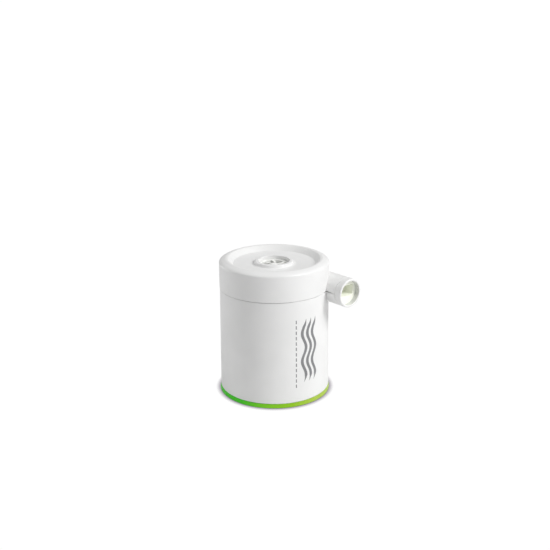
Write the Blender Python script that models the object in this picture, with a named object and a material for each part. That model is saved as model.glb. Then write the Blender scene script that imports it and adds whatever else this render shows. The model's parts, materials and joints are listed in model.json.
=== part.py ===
"""A rechargeable air mattress pump: a round blower with an inlet collar on top and a tangential outlet.

Run it with blender --background --python part.py. The frame is +Z up, with the origin at the centre of the
rubber pad that the pump stands on. The outlet points along +X, the button and the charging port are at -X.
All dimensions below are millimetres and degrees; the objects are made in metres.
"""

import math

import bmesh
import bpy
from mathutils import Vector

MM = 0.001
GAP = 0.3  # left between two pieces that rest on each other
MANY_CUTS = ("lower_housing", "upper_housing", "volute_base", "battery_cradle")  # EXACT leaves these open

# Outside of the pump
HEIGHT = 104.8
CAP_R = 41.5
BODY_TOP_R = 41.3
BODY_BOTTOM_R = 41.95
WALL = 2.2
SPLIT_Z = 82.5  # parting plane between the body and the cap
SPLIT_GAP = 0.15  # half of the gap at the parting plane
TONGUE_R = 40.0  # the body's tongue, which the cap sits over
TONGUE_HEIGHT = 2.6
BODY_BOTTOM_Z = 3.3
BASE_R = 42.5  # the base cover flares a little towards the floor
BASE_FOOT_Z = 0.1
PAD_R = 28.0
SHELL_SEGMENTS = 36

# Cap
SHOULDER_R = 1.9  # the corner between the side and the sloping crest
SHOULDER_Z = HEIGHT - 3.4
SHOULDER_TURN = 58
CREST_R = 36.4
RECESS_R = 30.6
RECESS_Z = HEIGHT - 4.3
DISH_Z = HEIGHT - 5.0
COLLAR_R = 14.4
COLLAR_TOP_R = 14.0
COLLAR_Z = HEIGHT - 2.2
COLLAR_BORE_R = 11.75
GUARD_SEAT_Z = 96.9
GUARD_THICK = 2.6
CAP_THROAT_R = 10.2
CAP_THROAT_Z = 95.0

# Outlet
OUTLET_Z = 82.0
OUTLET_Y = 30.3
OUTLET_R = 11.0
OUTLET_END_X = 51.3
ROOT_END_X = 45.4
ROOT_START_R = 40.9
SPIGOT_R = 9.1
SPIGOT_START_X = 16.7
MOUTH_BORE_R = 9.3
MOUTH_DEPTH = 4.4
PASSAGE_HALF_WIDTH = 6.9  # the passage behind the mouth, which is flat underneath
PASSAGE_BOTTOM = -3.0
PASSAGE_TOP = 5.1
PASSAGE_CORNER_R = 1.6
RIB_X = 38.0  # the rib that the two housings clamp

# Volute and impeller
FLOOR_Z = 75.0
FLOOR_THICK = 1.6
VOLUTE_TOP_Z = 89.0
VOLUTE_WALL = 1.1
VOLUTE_DISC_R = 38.6
SCROLL_START_R = 22.4
SCROLL_END_R = 36.3
SCROLL_START = 80.0
SCROLL_END = -270.0
DUCT_HALF_WIDTH = 6.0
MOUTH_PLATE_X = 9.4
LEDGE_R = 35.6  # the body's ledge, which the volute's floor rests on
LEDGE_TOP_Z = FLOOR_Z - FLOOR_THICK - GAP
LEDGE_Z = LEDGE_TOP_Z - 1.5
IMPELLER_R = 20.5
BLADES = 9
BLADE_ROOT_R = 5.0
BLADE_SWEEP = 46
EYE_R = 10.4

# Motor, which hangs under the volute floor
SHAFT_R = 1.6
MOTOR_R = 13.85
MOTOR_TOP_Z = 71.8
MOTOR_BOTTOM_Z = 34.0
BUSH_BORE_R = SHAFT_R + 0.25
TERMINAL_Y = 9.8
MOTOR_SCREW_Y = 8.0

# Battery cells
CELL_R = 9.2
CELL_X = 6.0
CELL_Y = 26.7
CELL_BOTTOM_Z = 5.5
CELL_LENGTH = 65.0
CELL_TOP_Z = CELL_BOTTOM_Z + CELL_LENGTH
CRADLE_FLOOR_Z = 4.6

# Controls at the back
BOARD_X = -30.4  # the face that carries the switch, the lamps and the socket
BOARD_THICK = 1.6
BOARD_SCREW_Y = 12
BOARD_SCREW_Z = 30
BUTTON_Z = 50.0
BUTTON_FACE_X = -42.5
BUTTON_R = 6.7
LAMP_Z = 36.0
LAMP_PITCH = 5.0
PORT_Z = 15.0
FLAP_HALF_WIDTH = 7.2
FLAP_HALF_HEIGHT = 4.3
FLAP_AXIS_X = -40.6
FLAP_AXIS_Z = 20.8
FLAP_AXIS = (FLAP_AXIS_X, 0, FLAP_AXIS_Z)

# Fasteners
CAP_POSTS = ((35.0, 22.0), (35.0, -50.0), (35.3, -115.0), (36.3, -165.0))  # radius and angle
BASE_POSTS = [(35.2, angle) for angle in (0, 120, 240)]
BASE_BOSSES = [(radius + 1.6, angle) for radius, angle in BASE_POSTS]  # further out, so they join the wall
SCREW_R = 1.35
HEAD_R = 2.6
CAP_SCREW_HEAD = 1.6


# Materials


def material(name, colour, roughness, metallic=0.0):
    made = bpy.data.materials.new(name)
    made.use_nodes = True
    shader = made.node_tree.nodes["Principled BSDF"]
    shader.inputs["Base Color"].default_value = (*colour, 1.0)
    shader.inputs["Roughness"].default_value = roughness
    shader.inputs["Metallic"].default_value = metallic
    made.diffuse_color = (*colour, 1.0)
    return made


def make_materials():
    return {
        "shell": material("shell", (0.86, 0.86, 0.85), 0.38),
        "base": material("base", (0.22, 0.55, 0.03), 0.4),
        "rubber": material("rubber", (0.32, 0.33, 0.34), 0.8),
        "fan": material("fan", (0.78, 0.79, 0.76), 0.42),
        "frame": material("frame", (0.12, 0.12, 0.13), 0.5),
        "steel": material("steel", (0.6, 0.6, 0.62), 0.3, 1.0),
        "magnet": material("magnet", (0.13, 0.13, 0.14), 0.6),
        "copper": material("copper", (0.72, 0.38, 0.18), 0.35, 1.0),
        "nickel": material("nickel", (0.72, 0.7, 0.66), 0.3, 1.0),
        "cell": material("cell", (0.05, 0.28, 0.42), 0.35),
        "board": material("board", (0.03, 0.22, 0.09), 0.45),
        "chip": material("chip", (0.04, 0.04, 0.045), 0.5),
        "lamp": material("lamp", (0.85, 0.9, 0.8), 0.15),
        "red_wire": material("red_wire", (0.55, 0.03, 0.02), 0.45),
        "black_wire": material("black_wire", (0.03, 0.03, 0.03), 0.45),
    }


# Shapes. Each function takes millimetres and returns a bmesh.


def finished(bm):
    bmesh.ops.recalc_face_normals(bm, faces=bm.faces)
    return bm


def turned(profile, segments=SHELL_SEGMENTS):
    """The closed outline of (radius, height) points turned about Z. A radius of 0 lies on the axis."""
    bm = bmesh.new()
    rings = []
    for radius, height in profile:
        if radius == 0:
            rings.append([bm.verts.new((0, 0, height * MM))] * segments)
            continue
        ring = []
        for step in range(segments):
            x, y = polar(radius, 360 * step / segments)
            ring.append(bm.verts.new((x * MM, y * MM, height * MM)))
        rings.append(ring)
    for lower, upper in zip(rings, rings[1:] + rings[:1]):
        for step in range(segments):
            after = (step + 1) % segments
            corners = [lower[step], lower[after], upper[after], upper[step]]
            corners = [v for i, v in enumerate(corners) if v not in corners[:i]]
            if len(corners) > 2:
                bm.faces.new(corners)
    return finished(bm)


def prism(outline, low, high):
    """The outline of (x, y) points extruded from the height low to the height high."""
    bm = bmesh.new()
    bottom = [bm.verts.new((x * MM, y * MM, low * MM)) for x, y in outline]
    top = [bm.verts.new((x * MM, y * MM, high * MM)) for x, y in outline]
    bm.faces.new(bottom[::-1])
    bm.faces.new(top)
    for i in range(len(outline)):
        j = (i + 1) % len(outline)
        bm.faces.new((bottom[i], bottom[j], top[j], top[i]))
    return finished(bm)


def box(low, high):
    """A box between two corners."""
    (x0, y0, z0), (x1, y1, z1) = low, high
    return prism([(x0, y0), (x1, y0), (x1, y1), (x0, y1)], z0, z1)


def cylinder(radius, low, high, segments=24):
    return turned([(0, low), (radius, low), (radius, high), (0, high)], segments)


def tube(inner, outer, low, high, segments=24):
    return turned([(inner, low), (outer, low), (outer, high), (inner, high)], segments)


def rounded_rectangle(half_width, half_height, radius, steps=3):
    points = []
    for quarter, (sx, sy) in enumerate(((1, 1), (-1, 1), (-1, -1), (1, -1))):
        for step in range(steps + 1):
            angle = math.radians(90 * (quarter + step / steps))
            x = sx * (half_width - radius) + radius * math.cos(angle)
            y = sy * (half_height - radius) + radius * math.sin(angle)
            points.append((x, y))
    return points


def arc(radius, start, end, steps):
    """Points on a circle about the origin, from the angle start to the angle end."""
    angles = [math.radians(start + (end - start) * i / steps) for i in range(steps + 1)]
    return [(radius * math.cos(a), radius * math.sin(a)) for a in angles]


def gathered(pieces):
    """Several bmeshes as one, each kept apart."""
    whole = bmesh.new()
    for piece in pieces:
        scratch = bpy.data.meshes.new("scratch")
        piece.to_mesh(scratch)
        piece.free()
        whole.from_mesh(scratch)
        bpy.data.meshes.remove(scratch)
    return whole


def moved(bm, offset):
    bmesh.ops.translate(bm, verts=bm.verts, vec=Vector(offset) * MM)
    return bm


def along_x(bm, offset=(0, 0, 0)):
    """Turns a shape made about Z so that its +Z points along +X, then moves it."""
    for v in bm.verts:
        v.co = Vector((v.co.z, v.co.y, -v.co.x))
    bmesh.ops.translate(bm, verts=bm.verts, vec=Vector(offset) * MM)
    return finished(bm)


def along_y(bm, offset=(0, 0, 0)):
    """Turns a shape made about Z so that its +Z points along +Y, then moves it."""
    for v in bm.verts:
        v.co = Vector((v.co.x, v.co.z, -v.co.y))
    bmesh.ops.translate(bm, verts=bm.verts, vec=Vector(offset) * MM)
    return finished(bm)


def polar(radius, angle):
    return radius * math.cos(math.radians(angle)), radius * math.sin(math.radians(angle))


def pegs(places, radius, low, high, segments=8):
    """Upright cylinders at a list of (radius, angle) places."""
    offsets = [(*polar(distance, angle), 0) for distance, angle in places]
    return gathered([moved(cylinder(radius, low, high, segments), offset) for offset in offsets])


def wire(points, radius=0.8, sides=8):
    """A round wire along a list of points, with its bends rounded."""
    path = [Vector(points[0])]
    for before, corner, after in zip(points, points[1:], points[2:]):
        before, corner, after = Vector(before), Vector(corner), Vector(after)
        start = corner + (before - corner).normalized() * 2.4
        end = corner + (after - corner).normalized() * 2.4
        for share in (0.0, 0.33, 0.67, 1.0):
            path.append((1 - share) ** 2 * start + 2 * share * (1 - share) * corner + share**2 * end)
    path.append(Vector(points[-1]))
    bm = bmesh.new()
    rings = []
    across = None
    for i, point in enumerate(path):
        ahead = (path[min(i + 1, len(path) - 1)] - path[max(i - 1, 0)]).normalized()
        across = ahead.orthogonal() if across is None else across - ahead * across.dot(ahead)
        across.normalize()
        up = ahead.cross(across)
        turns = [2 * math.pi * side / sides for side in range(sides)]
        rings.append(
            [bm.verts.new((point + radius * (across * math.cos(a) + up * math.sin(a))) * MM) for a in turns]
        )
    for near, far in zip(rings, rings[1:]):
        for side in range(sides):
            after = (side + 1) % sides
            bm.faces.new((near[side], near[after], far[after], far[side]))
    bm.faces.new(rings[0])
    bm.faces.new(rings[-1])
    return finished(bm)


# Objects


def placed(name, bm, skin, parent, location=(0, 0, 0), rotation=(0, 0, 0)):
    """An object of that shape. Its location is in its parent's frame."""
    mesh = bpy.data.meshes.new(name)
    bm.to_mesh(mesh)
    bm.free()
    mesh.shade_smooth()
    mesh.set_sharp_from_angle(angle=math.radians(35))
    if skin:
        mesh.materials.append(skin)
    made = bpy.data.objects.new(name, mesh)
    bpy.context.scene.collection.objects.link(made)
    made.parent = parent
    made.location = Vector(location) * MM
    made.rotation_euler = [math.radians(a) for a in rotation]
    return made


def empty(name, location, parent=None):
    made = bpy.data.objects.new(name, None)
    made.empty_display_size = 0.01
    bpy.context.scene.collection.objects.link(made)
    made.parent = parent
    made.location = Vector(location) * MM
    return made


def helper(name, bm):
    """A hidden shape in the pump's own frame, for a modifier to use."""
    made = placed(name, bm, None, None)
    made.hide_render = True
    made.display_type = "WIRE"
    return made


def combine(target, operation, *shapes):
    """Cuts, joins or intersects the target with each shape: a bmesh, or a helper that is already made."""
    for shape in shapes:
        name = f"{target.name}.{operation.lower()}.{len(target.modifiers)}"
        tool = shape if isinstance(shape, bpy.types.Object) else helper(name, shape)
        modifier = target.modifiers.new(operation.title(), "BOOLEAN")
        modifier.operation = operation
        modifier.object = tool
        modifier.solver = "MANIFOLD" if target.name in MANY_CUTS else "EXACT"
    return target


def cut(target, *shapes):
    return combine(target, "DIFFERENCE", *shapes)


def join(target, *shapes):
    return combine(target, "UNION", *shapes)


def keep(target, *shapes):
    return combine(target, "INTERSECT", *shapes)


# Housing


def outlet_cylinder(radius, start, end, segments=32):
    return along_x(cylinder(radius, start, end, segments), (0, OUTLET_Y, OUTLET_Z))


def outlet_root(name, low, high):
    """Half of the outlet's root, between two heights, from the middle of the housing's wall outwards."""
    root = helper(name, outlet_cylinder(OUTLET_R, 0.5, ROOT_END_X, 36))
    keep(root, box((-5, 0, low), (60, 60, high)))
    cut(root, cylinder(ROOT_START_R, OUTLET_Z - 22, OUTLET_Z + 18, SHELL_SEGMENTS))
    return root


def spigot_seat():
    """What the outlet spigot takes out of the two housings: its bore, and the groove for its rib."""
    return [
        outlet_cylinder(SPIGOT_R + GAP, 4.0, ROOT_END_X + 1, 24),
        outlet_cylinder(SPIGOT_R + 1.2, RIB_X - 1.0, RIB_X + 1.0, 24),
    ]


def outlet_passage(start, end):
    """The air passage through the outlet: a rounded rectangle along X."""
    half_height = (PASSAGE_TOP - PASSAGE_BOTTOM) / 2
    outline = rounded_rectangle(half_height, PASSAGE_HALF_WIDTH, PASSAGE_CORNER_R)
    middle_z = OUTLET_Z + (PASSAGE_TOP + PASSAGE_BOTTOM) / 2
    return along_x(prism(outline, start, end), (0, OUTLET_Y, middle_z))


def make_lower_housing(skin, parent):
    """The tall body: a drafted tube with a tongue that the cap sits over, and a ledge for the volute."""
    inner_bottom = BODY_BOTTOM_R - WALL - 0.4
    inner_top = BODY_TOP_R - WALL
    top = SPLIT_Z - SPLIT_GAP
    body = placed(
        "lower_housing",
        turned(
            [
                (BODY_BOTTOM_R - 0.4, BODY_BOTTOM_Z),
                (BODY_BOTTOM_R, BODY_BOTTOM_Z + 0.4),
                (BODY_TOP_R, top - 0.3),
                (BODY_TOP_R - 0.3, top),
                (TONGUE_R, top),
                (TONGUE_R, SPLIT_Z + TONGUE_HEIGHT),
                (inner_top, SPLIT_Z + TONGUE_HEIGHT),
                (inner_top, LEDGE_TOP_Z),
                (LEDGE_R, LEDGE_TOP_Z),
                (LEDGE_R, LEDGE_Z),
                (inner_top, LEDGE_Z),
                (inner_bottom, BODY_BOTTOM_Z),
            ]
        ),
        skin,
        parent,
    )
    join(body, outlet_root("outlet_root_lower", OUTLET_Z - 20, top))
    cut(body, *spigot_seat())
    join(body, pegs(BASE_BOSSES, 3.4, BODY_BOTTOM_Z + 3.3, 24.0, 14))
    join(body, pegs(CAP_POSTS, 4.2, LEDGE_Z + 0.05, LEDGE_TOP_Z - 0.05, 16))
    cut(body, pegs(BASE_POSTS, SCREW_R + GAP, 5, 20), pegs(CAP_POSTS, SCREW_R + GAP, 70, 76))
    cut(body, *back_openings())
    return body


def back_openings():
    """What the button, the lamps, the port, its flap and the flap's pin take out of the back wall."""
    button = along_x(cylinder(BUTTON_R + GAP, -46, -36, 28), (0, 0, BUTTON_Z))
    lamp_places = [(0, y * LAMP_PITCH, LAMP_Z) for y in (-1, 0, 1)]
    lamps = gathered([along_x(cylinder(1.3, -46, -36, 12), place) for place in lamp_places])
    window = along_x(prism(rounded_rectangle(2.9, 5.9, 1.4), -46, -36), (0, 0, PORT_Z))
    recess_outline = rounded_rectangle(FLAP_HALF_HEIGHT + GAP, FLAP_HALF_WIDTH + GAP, 2.0)
    recess = along_x(prism(recess_outline, -46, -40.0), (0, 0, PORT_Z))
    knuckle = box((-46, -3.2, PORT_Z + 2.5), (-36, 3.2, FLAP_AXIS_Z + 1.4))
    return [button, lamps, window, recess, knuckle, along_y(cylinder(0.8, -4.6, 4.6, 10), FLAP_AXIS)]


def make_upper_housing(skin, parent):
    """The cap: a rounded shoulder, a dished recess and the inlet collar in its middle."""
    shoulder = [(CAP_R - SHOULDER_R + x, SHOULDER_Z + y) for x, y in arc(SHOULDER_R, 0, SHOULDER_TURN, 3)]
    low = SPLIT_Z + SPLIT_GAP
    inside_z = RECESS_Z - 0.8
    seat_r = TONGUE_R + GAP
    cap = placed(
        "upper_housing",
        turned(
            [
                (CAP_R, low),
                *shoulder,
                (CREST_R + 3.0, HEIGHT - 1.05),
                (CREST_R, HEIGHT),
                (CREST_R - 1.5, HEIGHT - 0.3),
                (RECESS_R + 0.8, RECESS_Z + 0.6),
                (RECESS_R - 1.6, RECESS_Z),
                (COLLAR_R + 2.4, DISH_Z),
                (COLLAR_R, DISH_Z + 0.7),
                (COLLAR_TOP_R, COLLAR_Z - 0.5),
                (COLLAR_TOP_R - 0.6, COLLAR_Z),
                (COLLAR_BORE_R, COLLAR_Z),
                (COLLAR_BORE_R, GUARD_SEAT_Z),
                (CAP_THROAT_R, GUARD_SEAT_Z),
                (CAP_THROAT_R, CAP_THROAT_Z),
                (COLLAR_TOP_R - 0.6, CAP_THROAT_Z),
                (COLLAR_TOP_R - 0.6, DISH_Z - WALL),
                (RECESS_R - 1.0, RECESS_Z - WALL),
                (RECESS_R + 2.6, inside_z),
                (CAP_R - WALL - 0.8, inside_z),
                (CAP_R - WALL, inside_z - 1.0),
                (CAP_R - WALL, SPLIT_Z + TONGUE_HEIGHT + 1.0),
                (seat_r, SPLIT_Z + TONGUE_HEIGHT + 0.4),
                (seat_r, low),
            ]
        ),
        skin,
        parent,
    )
    join(cap, outlet_root("outlet_root_upper", low, OUTLET_Z + 20))
    cut(cap, *spigot_seat())
    join(cap, pegs(CAP_POSTS, 2.6, FLOOR_Z + GAP, RECESS_Z - 0.2))
    cut(cap, pegs(CAP_POSTS, SCREW_R + 0.2, 70, 88))
    return cap


def make_base(skins, parent):
    """The coloured base cover, the rubber pad under it and the three screws that hold it."""
    top = BODY_BOTTOM_Z - GAP
    cover = placed(
        "base_cover",
        turned(
            [
                (0, 1.5),
                (PAD_R + GAP, 1.5),
                (PAD_R + GAP, BASE_FOOT_Z),
                (BASE_R - 0.3, BASE_FOOT_Z),
                (BASE_R, BASE_FOOT_Z + 0.3),
                (BODY_BOTTOM_R - 0.05, top),
                (38.9, top),
                (38.9, 7.4),
                (37.5, 7.4),
                (37.5, top),
                (0, top),
            ]
        ),
        skins["base"],
        parent,
    )
    clearances = pegs(BASE_BOSSES, 4.0, BODY_BOTTOM_Z + GAP, 9, 14)
    counterbores = pegs(BASE_POSTS, HEAD_R + 0.4, -1, 2.2, 16)
    cut(cover, clearances, pegs(BASE_POSTS, SCREW_R + GAP, 0, 5), counterbores)
    pad_profile = [(0, 0), (PAD_R - 0.6, 0), (PAD_R, 0.5), (PAD_R, 1.2), (0, 1.2)]
    placed("base_pad", turned(pad_profile, 32), skins["rubber"], parent)
    for number, place in enumerate(BASE_POSTS, 1):
        placed(f"base_screw_{number}", screw(9.0, 1.0), skins["steel"], parent, (*polar(*place), 0.9))


def screw(length, head):
    """A pan-head screw that points up, with the outer face of its head at height 0."""
    profile = [(0, 0), (HEAD_R - 0.5, 0), (HEAD_R, 0.4), (HEAD_R, head), (SCREW_R, head)]
    profile += [(SCREW_R, length - 1.0), (0.5, length), (0, length)]
    return turned(profile, 10)


def make_cap_screws(skins, parent):
    for number, place in enumerate(CAP_POSTS, 1):
        where = (*polar(*place), LEDGE_Z - GAP - CAP_SCREW_HEAD)
        placed(f"cap_screw_{number}", screw(15.0, CAP_SCREW_HEAD), skins["steel"], parent, where)


def make_spigot(skins, parent):
    """The one-piece outlet tube, which the two housings clamp by its rib, and its wider mouth."""
    step_x = OUTLET_END_X - MOUTH_DEPTH
    collar_x = ROOT_END_X + GAP
    profile = [
        (0, SPIGOT_START_X),
        (SPIGOT_R, SPIGOT_START_X),
        (SPIGOT_R, RIB_X - 0.7),
        (SPIGOT_R + 0.9, RIB_X - 0.7),
        (SPIGOT_R + 0.9, RIB_X + 0.7),
        (SPIGOT_R, RIB_X + 0.7),
        (SPIGOT_R, collar_x),
        (OUTLET_R, collar_x),
        (OUTLET_R, OUTLET_END_X - 0.4),
        (OUTLET_R - 0.4, OUTLET_END_X),
        (MOUTH_BORE_R + 0.3, OUTLET_END_X),
        (MOUTH_BORE_R, OUTLET_END_X - 0.3),
        (MOUTH_BORE_R, step_x),
        (0, step_x),
    ]
    shape = along_x(turned(profile, 28))
    spigot = placed("outlet_spigot", shape, skins["shell"], parent, (0, OUTLET_Y, OUTLET_Z))
    cut(spigot, outlet_passage(SPIGOT_START_X - 1, OUTLET_END_X))


def make_inlet_guard(skins, parent):
    """The finger guard in the inlet: a ring with curved spokes and a domed hub."""
    low = GUARD_SEAT_Z + GAP
    high = low + GUARD_THICK
    guard = placed("inlet_guard", tube(9.7, COLLAR_BORE_R - 0.25, low, high, 32), skins["fan"], parent)
    hub = turned([(0, low), (2.6, low), (2.6, high - 0.1), (1.6, high + 0.1), (0, high + 0.2)], 20)
    spokes = []
    for number in range(6):
        inner, outer = [], []
        for step in range(6):
            share = step / 5
            radius = 2.2 + 7.8 * share
            sweep = 60 * number + 22 * share**1.3
            inner.append(polar(radius, sweep - 4.5 * (1 - share)))
            outer.append(polar(radius, sweep + 6 + 8 * (1 - share)))
        spokes.append(prism(inner + outer[::-1], low + 0.2, high - 0.2))
    join(guard, gathered(spokes), hub)


def make_inlet_seal(skins, parent):
    placed("inlet_seal", tube(10.6, 13.2, 93.2, CAP_THROAT_Z - GAP, 32), skins["rubber"], parent)


# Volute


def scroll_radius(angle):
    share = (SCROLL_START - angle) / (SCROLL_START - SCROLL_END)
    return SCROLL_START_R + (SCROLL_END_R - SCROLL_START_R) * share


def scroll_inside():
    """The air space seen from above: a spiral that opens into a straight duct."""
    steps = 40
    angles = [SCROLL_START + (SCROLL_END - SCROLL_START) * i / steps for i in range(steps + 1)]
    spiral = [polar(scroll_radius(a), a) for a in angles]
    near = OUTLET_Y - DUCT_HALF_WIDTH
    duct = [(8.2, SCROLL_END_R), (8.2, near), (spiral[0][0], near)]
    return spiral + duct


def scroll_outside():
    """The outline of the scroll's wall."""
    start, steps = 66.0, 40
    angles = [start + (SCROLL_END - start) * i / steps for i in range(steps + 1)]
    spiral = [polar(scroll_radius(a) + VOLUTE_WALL, a) for a in angles]
    return spiral + [(MOUTH_PLATE_X, SCROLL_END_R + VOLUTE_WALL)]


def outlet_clearance(start):
    return outlet_cylinder(SPIGOT_R + 0.4, start, 60, 20)


def make_volute(skins, parent):
    """The scroll, with a short pipe towards the outlet, and its cover with the inlet ring."""
    low = FLOOR_Z - FLOOR_THICK
    wall_top = VOLUTE_TOP_Z - GAP
    base = placed("volute_base", cylinder(VOLUTE_DISC_R, low, FLOOR_Z, 40), skins["fan"], parent)
    join(base, prism(scroll_outside(), low + 0.2, wall_top))
    join(base, cylinder(15.5, MOTOR_TOP_Z + GAP, FLOOR_Z - 0.2, 32))
    cut(base, prism(scroll_inside(), FLOOR_Z, VOLUTE_TOP_Z + 8))
    cut(base, outlet_clearance(MOUTH_PLATE_X + 0.1))
    join(base, outlet_cylinder(SPIGOT_R, 8.6, SPIGOT_START_X - GAP, 20))
    cut(base, outlet_passage(8.0, SPIGOT_START_X + 2))
    screws = [(MOTOR_SCREW_Y, -90), (MOTOR_SCREW_Y, 90)]
    cut(base, pegs(CAP_POSTS, SCREW_R + GAP, 70, 78), pegs(screws, 1.5, 70, 78, 10))
    cut(base, pegs(screws, HEAD_R + 0.1, 73.7, 78), cylinder(5.4, 70, 78, 24))

    cover = placed(
        "volute_cover",
        turned(
            [
                (EYE_R + 0.4, 88.3),
                (EYE_R + 1.6, 88.3),
                (EYE_R + 2.0, VOLUTE_TOP_Z),
                (VOLUTE_DISC_R - 0.2, VOLUTE_TOP_Z),
                (VOLUTE_DISC_R - 0.2, 90.6),
                (13.4, 90.6),
                (13.2, 92.9),
                (11.6, 92.9),
                (EYE_R + 0.4, 91.0),
            ],
            36,
        ),
        skins["fan"],
        parent,
    )
    cut(cover, pegs(CAP_POSTS, 3.1, 86, 94, 14), outlet_clearance(8.2))


def blade(number):
    """One backward-curved blade, which leans against the clockwise spin."""
    steps, half = 5, 0.55
    front, back = [], []
    for step in range(steps + 1):
        share = step / steps
        radius = BLADE_ROOT_R + (IMPELLER_R - 0.3 - BLADE_ROOT_R) * share
        angle = 360 * number / BLADES + BLADE_SWEEP * share**1.15
        spread = math.degrees(half / radius)
        front.append(polar(radius, angle - spread))
        back.append(polar(radius, angle + spread))
    return prism(front + back[::-1], 77.0, 87.2)


def make_impeller(skins, parent):
    disc = [(1.9, 76.0), (IMPELLER_R, 76.0), (IMPELLER_R, 77.3), (8.5, 77.9), (6.4, 80.5), (5.2, 88.4)]
    hub = disc + [(3.6, 90.3), (1.9, 90.3)]
    impeller = placed("impeller", turned(hub, 32), skins["fan"], parent)
    join(impeller, gathered([blade(number) for number in range(BLADES)]))
    nut = [(2.1, 90.6), (3.4, 90.6), (3.4, 92.8), (2.4, 93.6), (0, 93.9), (0, 92.8), (2.1, 92.8)]
    placed("impeller_nut", turned(nut, 6), skins["steel"], parent)


# Motor


def make_motor_stator(skins, parent):
    """The fixed half of the motor: can, magnets, bushes, end bell, terminals and its rubber sleeve."""
    can = [
        (3.8, MOTOR_TOP_Z - 1.0),
        (MOTOR_R - 0.8, MOTOR_TOP_Z - 1.0),
        (MOTOR_R - 0.8, MOTOR_BOTTOM_Z),
        (MOTOR_R, MOTOR_BOTTOM_Z),
        (MOTOR_R, MOTOR_TOP_Z - 0.8),
        (MOTOR_R - 0.8, MOTOR_TOP_Z),
        (5.0, MOTOR_TOP_Z),
        (5.0, MOTOR_TOP_Z + 1.6),
        (3.8, MOTOR_TOP_Z + 1.6),
    ]
    shell = placed("motor_can", turned(can, 24), skins["steel"], parent)
    cut(shell, pegs([(MOTOR_SCREW_Y, -90), (MOTOR_SCREW_Y, 90)], 1.4, 69, 74, 10))
    for name, middle in (("motor_magnet_left", 180), ("motor_magnet_right", 0)):
        outline = arc(12.7, middle - 62, middle + 62, 10) + arc(10.9, middle + 62, middle - 62, 10)
        placed(name, prism(outline, 41.0, 65.0), skins["magnet"], parent)
    placed("motor_front_bush", tube(BUSH_BORE_R, 3.5, 69.4, 72.9, 20), skins["copper"], parent)
    placed("motor_rear_bush", tube(BUSH_BORE_R, 3.2, 29.6, 32.6, 20), skins["copper"], parent)
    bell = [
        (3.5, 29.6),
        (6.5, 29.6),
        (7.5, 31.2),
        (MOTOR_R, 31.2),
        (MOTOR_R, MOTOR_BOTTOM_Z - GAP),
        (12.7, MOTOR_BOTTOM_Z - GAP),
        (12.7, 35.0),
        (11.2, 35.0),
        (11.2, 32.9),
        (3.5, 32.9),
    ]
    end = placed("motor_end_bell", turned(bell, 24), skins["frame"], parent)
    slots = [moved(box((-1.6, -0.7, 25), (1.6, 0.7, 40)), (0, TERMINAL_Y * side, 0)) for side in (-1, 1)]
    cut(end, gathered(slots))
    for name, side in (("motor_terminal_positive", -1), ("motor_terminal_negative", 1)):
        blade_shape = box((-1.2, -0.3, 26.4), (1.2, 0.3, 34.2))
        placed(name, blade_shape, skins["nickel"], parent, (0, TERMINAL_Y * side, 0))
    placed("motor_sleeve", tube(MOTOR_R + GAP, 16.0, 40.0, 57.0, 28), skins["rubber"], parent)
    for number, side in enumerate((-1, 1), 1):
        where = (0, MOTOR_SCREW_Y * side, FLOOR_Z)
        placed(f"motor_screw_{number}", small_screw(), skins["steel"], parent, where, (180, 0, 0))


def small_screw():
    """A small pan-head screw with the outer face of its head at height 0."""
    return turned([(0, 0), (2.2, 0), (2.2, 1.0), (1.15, 1.0), (1.15, 5.0), (0, 5.6)], 10)


def make_rotor(skins, parent):
    """What turns inside the motor: shaft, three-pole core, windings and commutator."""
    placed("motor_shaft", cylinder(SHAFT_R, 28.8, 92.4, 16), skins["steel"], parent)
    core = placed("armature_core", core_shape(0.0, 43.0, 62.0), skins["magnet"], parent)
    cut(core, cylinder(BUSH_BORE_R, 40, 66, 16))
    coil = [(3.2, 40.2), (7.6, 40.2), (8.8, 41.6), (8.8, 63.4), (7.6, 64.8), (3.2, 64.8)]
    windings = placed("armature_windings", turned(coil, 24), skins["copper"], parent)
    cut(windings, core_shape(GAP, 43.0 - GAP, 62.0 + GAP))
    placed("commutator", tube(BUSH_BORE_R, 3.1, 34.8, 39.4, 18), skins["copper"], parent)


def core_shape(grow, low, high):
    """Three poles with curved shoes about the shaft, grown by that much all round."""
    outline = []
    for pole in range(3):
        middle = 120 * pole
        outer = 10.2 + grow
        inner = 8.9 - grow
        shoe = 47 + math.degrees(grow / 10)
        neck = 2.0 + grow
        hub = 4.4 + grow
        rise = math.sqrt(inner**2 - neck**2)
        root = math.sqrt(hub**2 - neck**2)
        local = [(root, -neck), (rise, -neck), polar(inner, -shoe)]
        local += arc(outer, -shoe, shoe, 8)
        local += [polar(inner, shoe), (rise, neck), (root, neck)]
        cosine, sine = polar(1, middle)
        outline += [(x * cosine - y * sine, x * sine + y * cosine) for x, y in local]
    return prism(outline, low, high)


# Battery


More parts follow.
